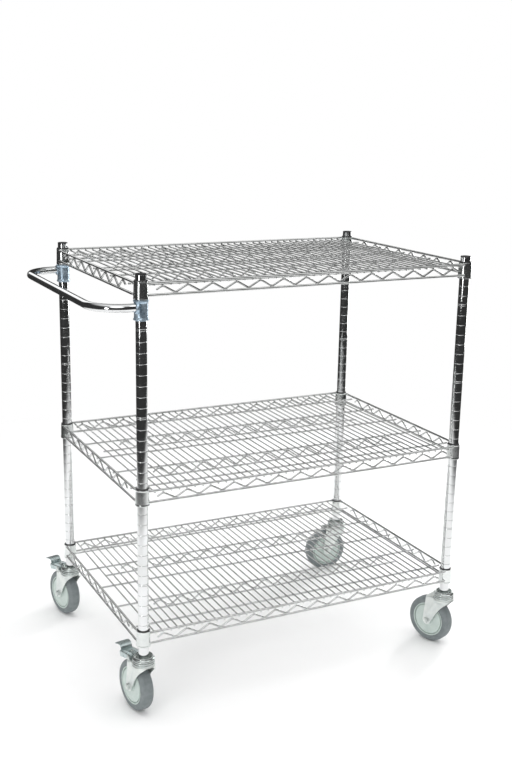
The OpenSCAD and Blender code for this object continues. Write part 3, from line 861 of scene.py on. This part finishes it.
def make_fork_top(corner):
    """The lower ball race on the crown, and the ears that carry a brake."""
    place = caster_matrix(corner)
    shape = Shape()
    ring = [(6.05 * MM, CROWN_TOP - 1 * MM), (26.4 * MM, CROWN_TOP - 1 * MM), (27.2 * MM, 137.2 * MM),
            (27.3 * MM, 140.0 * MM), (25.8 * MM, 141.0 * MM), (25.8 * MM, 142.0 * MM),
            (27.2 * MM, 143.0 * MM), (27.0 * MM, 145.0 * MM), (25.6 * MM, RACE_TOP), (6.05 * MM, RACE_TOP)]
    ring = fillet(ring, 0.7 * MM, closed=True)
    shape.lathe(ring, place, segments=64, closed=True)
    if corner in BRAKED:
        for side in (-1, 1):
            ear = [(29 * MM, 128 * MM)] + arc(PIVOT, 6 * MM, 165, 15, 12) + [(44 * MM, 128 * MM)]
            at = place @ Matrix.Translation((0, side * (LEG_INNER + LEG_OUTER) / 2, 0))
            shape.plate(ear, LEG_T, at)
    shape.build(f"{corner}_lower_race", RACE, f"swivel_{corner}", [], bevel=0.4 * MM)


def hexagon(shape, across, low, high, matrix):
    """A hexagonal head between two heights, its corners turned down to a chamfer."""
    r = across / 2
    chamfer = 0.9 * MM
    outline = []
    sides = 6
    per_side = 6
    for i in range(sides * per_side):
        a = math.tau * i / (sides * per_side)
        within = (a % (math.tau / sides)) - math.pi / sides
        outline.append((a, r * math.cos(math.pi / sides) / math.cos(within)))
    flat = r * math.cos(math.pi / sides)
    rows = []
    levels = ((low, 0.0), (low, flat * 0.98), (low + chamfer, r),
              (high - chamfer, r), (high, flat * 0.96), (high, 0.0))
    for z, limit in levels:
        rows.append([(min(d, limit) * math.cos(a), min(d, limit) * math.sin(a), z) for a, d in outline])
    shape.grid(rows, matrix, closed=True)


def make_axle(corner):
    """Axle bolt through the hub, with washers, a hex head and a lock nut."""
    place = caster_matrix(corner) @ AXLE
    shape = Shape()
    half = LEG_OUTER + 1.2 * MM
    head = 5 * MM
    shape.lathe([(0, -half), (3.98 * MM, -half), (3.98 * MM, half), (0, half)], place, segments=32)
    for side in (-1, 1):
        turn = place if side > 0 else place @ Matrix.Rotation(math.pi, 4, "X")
        washer = [(4.0 * MM, LEG_OUTER), (8.5 * MM, LEG_OUTER), (8.5 * MM, half), (4.0 * MM, half)]
        washer = fillet(washer, 0.35 * MM, closed=True)
        shape.lathe(washer, turn, segments=40, closed=True)
        hexagon(shape, 15 * MM, half, half + head, turn)
        if side < 0:
            tip = [(0, half + head), (3.9 * MM, half + head), (3.9 * MM, half + 6 * MM),
                   (3.3 * MM, half + 6.7 * MM), (0, half + 6.7 * MM)]
            shape.lathe(tip, turn, segments=28)
    shape.build(f"{corner}_axle_bolt", STEEL, f"swivel_{corner}", [f"caster_{corner}_axle"])


def make_hub(corner):
    """Hub disc: a raised boss, shallow steps and the round groove near the tyre."""
    half = [(4.05, 18.0), (11.5, 18.0), (12.6, 17.2), (13.4, 14.6), (20.0, 14.2), (21.0, 14.8),
            (39.5, 14.9), (40.8, 14.4), (41.2, 13.4), (41.3, 9.5), (43.9, 9.5), (44.0, 14.0),
            (44.6, 15.1), (46.95, 15.1)]
    outline = [(r * MM, z * MM) for r, z in half] + [(r * MM, -z * MM) for r, z in reversed(half)]
    outline = fillet(outline, 0.5 * MM, steps=3, closed=True)
    shape = Shape()
    shape.lathe(outline, caster_matrix(corner) @ AXLE, segments=96, closed=True)
    shape.build(f"{corner}_hub_disc", HUB, f"wheel_{corner}", [f"caster_{corner}_hub"])


def make_tyre(corner):
    """Tyre: rounded shoulders, a moulded bead line on each side and the mould's parting line."""
    bore, bead = 46.96 * MM, 0.35 * MM
    half_w, round_r = TYRE_W / 2, 9.5 * MM
    outline = [Vector((bore, 13.0 * MM)), Vector((bore, 15.4 * MM)), Vector((47.8 * MM, 15.9 * MM)),
               Vector((50.6 * MM, half_w)), Vector((50.9 * MM, half_w - bead)),
               Vector((51.3 * MM, half_w - bead)), Vector((51.6 * MM, half_w))]
    corner_at = (half_w - round_r, WHEEL_R - round_r)
    outline += [Vector((p.y, p.x)) for p in arc(corner_at, round_r, 0, 82, 12)]
    outline += [Vector((WHEEL_R - 0.02 * MM, 0.5 * MM)), Vector((WHEEL_R, 0.2 * MM))]
    profile = [(p.x, p.y) for p in outline] + [(p.x, -p.y) for p in reversed(outline)]
    shape = Shape()
    shape.lathe(profile, caster_matrix(corner) @ AXLE, segments=112, closed=True)
    shape.build(f"{corner}_tyre_ring", RUBBER, f"wheel_{corner}", [f"caster_{corner}_tyre"])


# ---------------- foot brakes


def pan_low(x):
    """Height of the lower edge of the pedal's side flanges."""
    corners = ((28.4, 140.0), (32.0, 137.2), (43.5, 137.2), (46.0, 131.2), (82.0, 123.2), (85.0, 133.5))
    for (x0, z0), (x1, z1) in zip(corners, corners[1:]):
        if x <= x1 * MM:
            return (z0 + (z1 - z0) * max(x / MM - x0, 0.0) / (x1 - x0)) * MM
    return corners[-1][1] * MM


def make_pedal(corner):
    """Pressed pedal: a shallow pan with turned-down sides, a riser and an arched foot plate."""
    place = caster_matrix(corner)
    shape = Shape()
    side_y, bend = 17.7 * MM, 2.2 * MM
    bead_from, bead_to = 36 * MM, 78 * MM
    bead_y, bead_wide, bead_height = 10.5 * MM, 1.8 * MM, 1.3 * MM
    steps = 40
    rows = []
    for i in range(steps + 1):
        p = PAN_FRONT.lerp(CREASE + Vector((1.0 * MM, -0.16 * MM)), i / steps)
        low = min(pan_low(p.x), p.y - bend)
        half = [(side_y, low + (p.y - bend - low) * k / 4) for k in range(4)]
        half += [(q.x, q.y) for q in arc((side_y - bend, p.y - bend), bend, 0, 90, 4)]
        half += [((side_y - bend) * (1 - k / 12), p.y) for k in range(1, 13)]
        row = []
        for side, points in ((-1, half), (1, reversed(half[:-1]))):
            for y, z in points:
                bead = 0.0
                if bead_from < p.x < bead_to and z > p.y - 0.1 * MM:
                    bead = bead_height * math.exp(-((y - bead_y) / bead_wide) ** 2)
                row.append((p.x, side * y, z + bead))
        rows.append(row)
    shape.grid(rows, place)
    pad = [CREASE] + arc(CREASE + Vector((10.5 * MM, 1.5 * MM)), 10.3 * MM, 175, 81, 10)
    tip = CREASE + Vector((26.0 * MM, 9.3 * MM))
    pad += [pad[-1].lerp(tip, i / 8) for i in range(1, 9)]
    rows = []
    for p in pad:
        t = clamp((p.x - CREASE.x - 3 * MM) / (24 * MM))
        wide = (15.5 + 4.1 * t) * MM
        corner_cut = max(0.0, (p.x - tip.x + 4 * MM) / (4 * MM))
        wide -= 4.0 * MM * (1 - math.sqrt(max(1 - corner_cut * corner_cut, 0.0)))
        rows.append([(p.x, wide * (k / 10 - 1), p.y) for k in range(21)])
    shape.grid(rows, place)
    shape.build(f"{corner}_brake_lever", PEDAL, f"pedal_{corner}", [f"brake_pedal_{corner}"],
                thickness=1.6 * MM, bevel=0.35 * MM)
    knob = Shape()
    at = PAN_FRONT.lerp(CREASE, 0.55)
    dome = [(0, 3.4 * MM), (2.4 * MM, 3.0 * MM), (4.2 * MM, 1.6 * MM), (4.6 * MM, 0.2 * MM),
            (4.6 * MM, -1.0 * MM), (0, -1.0 * MM)]
    dome = fillet(dome, 0.8 * MM)
    knob.lathe(dome, place @ Matrix.Translation((at.x, 0, at.y + 0.5 * MM)), segments=28)
    knob.build(f"{corner}_brake_rivet", RACE, f"pedal_{corner}", [])


def make_shoe(corner):
    """Brake shoe under the pedal, its lower face curved like the tyre and clear of it."""
    place = caster_matrix(corner)
    face_r, wide = 68.5 * MM, 24 * MM
    shape = Shape()
    top = [(66 * MM, 139.4 * MM), (50 * MM, 141.9 * MM)]
    low = arc((TRAIL, WHEEL_R), face_r, 79, 65, 8)
    shape.plate(low + top, wide, place)
    shape.build(f"{corner}_brake_shoe_pad", RUBBER, f"pedal_{corner}", [f"brake_shoe_{corner}"],
                bevel=0.8 * MM)


def make_pin(corner):
    """Hinge pin with a riveted head at each end."""
    place = caster_matrix(corner) @ Matrix.Translation((PIVOT[0], 0, PIVOT[1]))
    place = place @ Matrix.Rotation(math.pi / 2, 4, "X")
    half = [(2.5, 0.0), (2.5, 21.5), (3.9, 21.5), (3.9, 22.2), (2.6, 23.0), (0.0, 23.0)]
    outline = [(r * MM, -z * MM) for r, z in reversed(half)] + [(r * MM, z * MM) for r, z in half[1:]]
    shape = Shape()
    shape.lathe(fillet(outline, 0.4 * MM, steps=3), place, segments=28)
    shape.build(f"{corner}_brake_hinge_pin", STEEL, f"swivel_{corner}", [f"brake_pin_{corner}"])


# ---------------- build everything


for corner in CORNERS:
    make_post(corner)
    make_stem(corner)
    make_fork(corner)
    make_fork_top(corner)
    make_axle(corner)
    make_hub(corner)
    make_tyre(corner)
for corner in BRAKED:
    make_pedal(corner)
    make_shoe(corner)
    make_pin(corner)
make_caps()
for shelf in SHELVES:
    make_side_truss(shelf, "front", -1)
    make_side_truss(shelf, "back", 1)
    make_end_truss(shelf, "left", -1)
    make_end_truss(shelf, "right", 1)
    make_inner_trusses(shelf)
    make_deck(shelf)
    make_collars(shelf)
    make_sleeves(shelf)
make_handle()
make_bracket("front", -1)
make_bracket("back", 1)
make_handle_screws()

# ---------------- floor, light and camera


FLOOR_HALF = 4.0
FADE_FROM = 1.3
FADE_TO = 2.4


def make_floor():
    """A plain pale floor whose far edge fades into the pale background."""
    material, surface = shader("floor_paint", (0.90, 0.90, 0.90), metallic=0.0, roughness=0.6)
    nodes, links = material.node_tree.nodes, material.node_tree.links
    place = nodes.new("ShaderNodeTexCoord")
    length = nodes.new("ShaderNodeVectorMath")
    length.operation = "LENGTH"
    fade = nodes.new("ShaderNodeMapRange")
    fade.interpolation_type = "SMOOTHSTEP"
    fade.inputs["From Min"].default_value = FADE_FROM
    fade.inputs["From Max"].default_value = FADE_TO
    clear = nodes.new("ShaderNodeBsdfTransparent")
    mix = nodes.new("ShaderNodeMixShader")
    links.new(place.outputs["Object"], length.inputs[0])
    links.new(length.outputs["Value"], fade.inputs["Value"])
    links.new(fade.outputs["Result"], mix.inputs["Fac"])
    links.new(surface.outputs["BSDF"], mix.inputs[1])
    links.new(clear.outputs["BSDF"], mix.inputs[2])
    links.new(mix.outputs["Shader"], nodes["Material Output"].inputs["Surface"])
    mesh = bpy.data.meshes.new("floor")
    signs = ((-1, -1), (1, -1), (1, 1), (-1, 1))
    corners = [(x * FLOOR_HALF, y * FLOOR_HALF, 0) for x, y in signs]
    mesh.from_pydata(corners, [], [(0, 1, 2, 3)])
    mesh.materials.append(material)
    floor = bpy.data.objects.new("floor", mesh)
    bpy.context.scene.collection.objects.link(floor)


def toward(azimuth, elevation):
    """A direction, from degrees. Azimuth 0 is the front (-Y) and grows to the right."""
    azimuth, elevation = math.radians(azimuth), math.radians(elevation)
    level = math.cos(elevation)
    return Vector((math.sin(azimuth) * level, -math.cos(azimuth) * level, math.sin(elevation)))


CAMERA_AZIMUTH = -26.85
CAMERA_ELEVATION = 14.28
CAMERA_ROLL = 1.09
CAMERA_DISTANCE = 2.9413
CAMERA_TARGET = Vector((-0.0021, 0.0043, 0.7153))
SENSOR_WIDTH = 36.0
LENS = 51.51

DARK_ROOM = 0.035
FILL_LIGHT = 0.86
# Each window of the room: where it is, the cosines where it starts and is full, its brightness.
WINDOWS = (
    (toward(CAMERA_AZIMUTH, 42), 0.93, 0.96, 1.6),
    (toward(48, 50), 0.955, 0.975, 1.3),
    (toward(180, 25), 0.955, 0.985, 1.3),
    (toward(187, 2), 0.984, 0.996, 0.22),
    (Vector((0.0, 0.0, 1.0)), 0.60, 0.97, 0.9),
)


def window_light(nodes, links, place, direction, start, full, brightness):
    """Brightness of one soft window: nothing at cosine start, all of it from cosine full."""
    dot = nodes.new("ShaderNodeVectorMath")
    dot.operation = "DOT_PRODUCT"
    dot.inputs[1].default_value = direction
    window = nodes.new("ShaderNodeMapRange")
    window.interpolation_type = "SMOOTHSTEP"
    window.inputs["From Min"].default_value = start
    window.inputs["From Max"].default_value = full
    window.inputs["To Max"].default_value = brightness
    links.new(place.outputs["Generated"], dot.inputs[0])
    links.new(dot.outputs["Value"], window.inputs["Value"])
    return window.outputs["Result"]


def make_world():
    """White to the eye, softer as light, and a dark room with soft windows to what reflects it."""
    world = bpy.data.worlds.new("studio")
    bpy.context.scene.world = world
    world.use_nodes = True
    nodes, links = world.node_tree.nodes, world.node_tree.links
    seen = nodes["Background"]
    seen.inputs["Color"].default_value = (1.0, 1.0, 1.0, 1.0)
    fill = nodes.new("ShaderNodeBackground")
    fill.inputs["Color"].default_value = (1.0, 1.0, 1.0, 1.0)
    fill.inputs["Strength"].default_value = FILL_LIGHT
    room = nodes.new("ShaderNodeBackground")
    place = nodes.new("ShaderNodeTexCoord")
    total = None
    for window in WINDOWS:
        light = window_light(nodes, links, place, *window)
        add = nodes.new("ShaderNodeMath")
        add.operation = "ADD"
        links.new(light, add.inputs[0])
        if total:
            links.new(total, add.inputs[1])
        else:
            add.inputs[1].default_value = DARK_ROOM
        total = add.outputs["Value"]
    links.new(total, room.inputs["Color"])
    path = nodes.new("ShaderNodeLightPath")
    to_eye = nodes.new("ShaderNodeMixShader")
    links.new(path.outputs["Is Camera Ray"], to_eye.inputs["Fac"])
    links.new(fill.outputs["Background"], to_eye.inputs[1])
    links.new(seen.outputs["Background"], to_eye.inputs[2])
    to_gloss = nodes.new("ShaderNodeMixShader")
    links.new(path.outputs["Is Glossy Ray"], to_gloss.inputs["Fac"])
    links.new(to_eye.outputs["Shader"], to_gloss.inputs[1])
    links.new(room.outputs["Background"], to_gloss.inputs[2])
    links.new(to_gloss.outputs["Shader"], nodes["World Output"].inputs["Surface"])


def area_light(name, at, towards, size, power, reflected=True):
    """A lamp the camera doesn't see, which shiny things may mirror."""
    data = bpy.data.lights.new(name, "AREA")
    data.shape = "RECTANGLE"
    data.size, data.size_y = size
    data.energy = power
    lamp = bpy.data.objects.new(name, data)
    lamp.location = at
    lamp.rotation_euler = (Vector(towards) - Vector(at)).to_track_quat("-Z", "Y").to_euler()
    lamp.visible_glossy = reflected
    lamp.visible_camera = False
    bpy.context.scene.collection.objects.link(lamp)


def make_camera():
    """At the photograph's angle: left of the front, a little above, with a slight roll."""
    roll = math.radians(CAMERA_ROLL)
    back = toward(CAMERA_AZIMUTH, CAMERA_ELEVATION)
    level = Vector((0, 0, 1)).cross(back).normalized()
    upright = back.cross(level)
    right = level * math.cos(roll) + upright * math.sin(roll)
    up = upright * math.cos(roll) - level * math.sin(roll)
    data = bpy.data.cameras.new("camera")
    data.sensor_width = SENSOR_WIDTH
    data.lens = LENS
    data.clip_start = 0.05
    data.clip_end = 50.0
    camera = bpy.data.objects.new("camera", data)
    turn = Matrix((right, up, back)).transposed().to_4x4()
    camera.matrix_world = Matrix.Translation(CAMERA_TARGET + back * CAMERA_DISTANCE) @ turn
    bpy.context.scene.collection.objects.link(camera)
    bpy.context.scene.camera = camera


make_floor()
make_world()
area_light("overhead", at=(0.0, -0.2, 3.4), towards=(0, 0, 0), size=(3.5, 3.0), power=58.0, reflected=False)
area_light("side_panel", at=(2.6, 1.3, 1.3), towards=(0, 0, 0.7), size=(0.5, 2.2), power=40.0)
area_light("left_panel", at=(-2.6, -1.7, 1.02), towards=(0, 0, 0.9), size=(0.4, 1.15), power=14.0)
make_camera()
bpy.context.scene.view_settings.view_transform = "Standard"
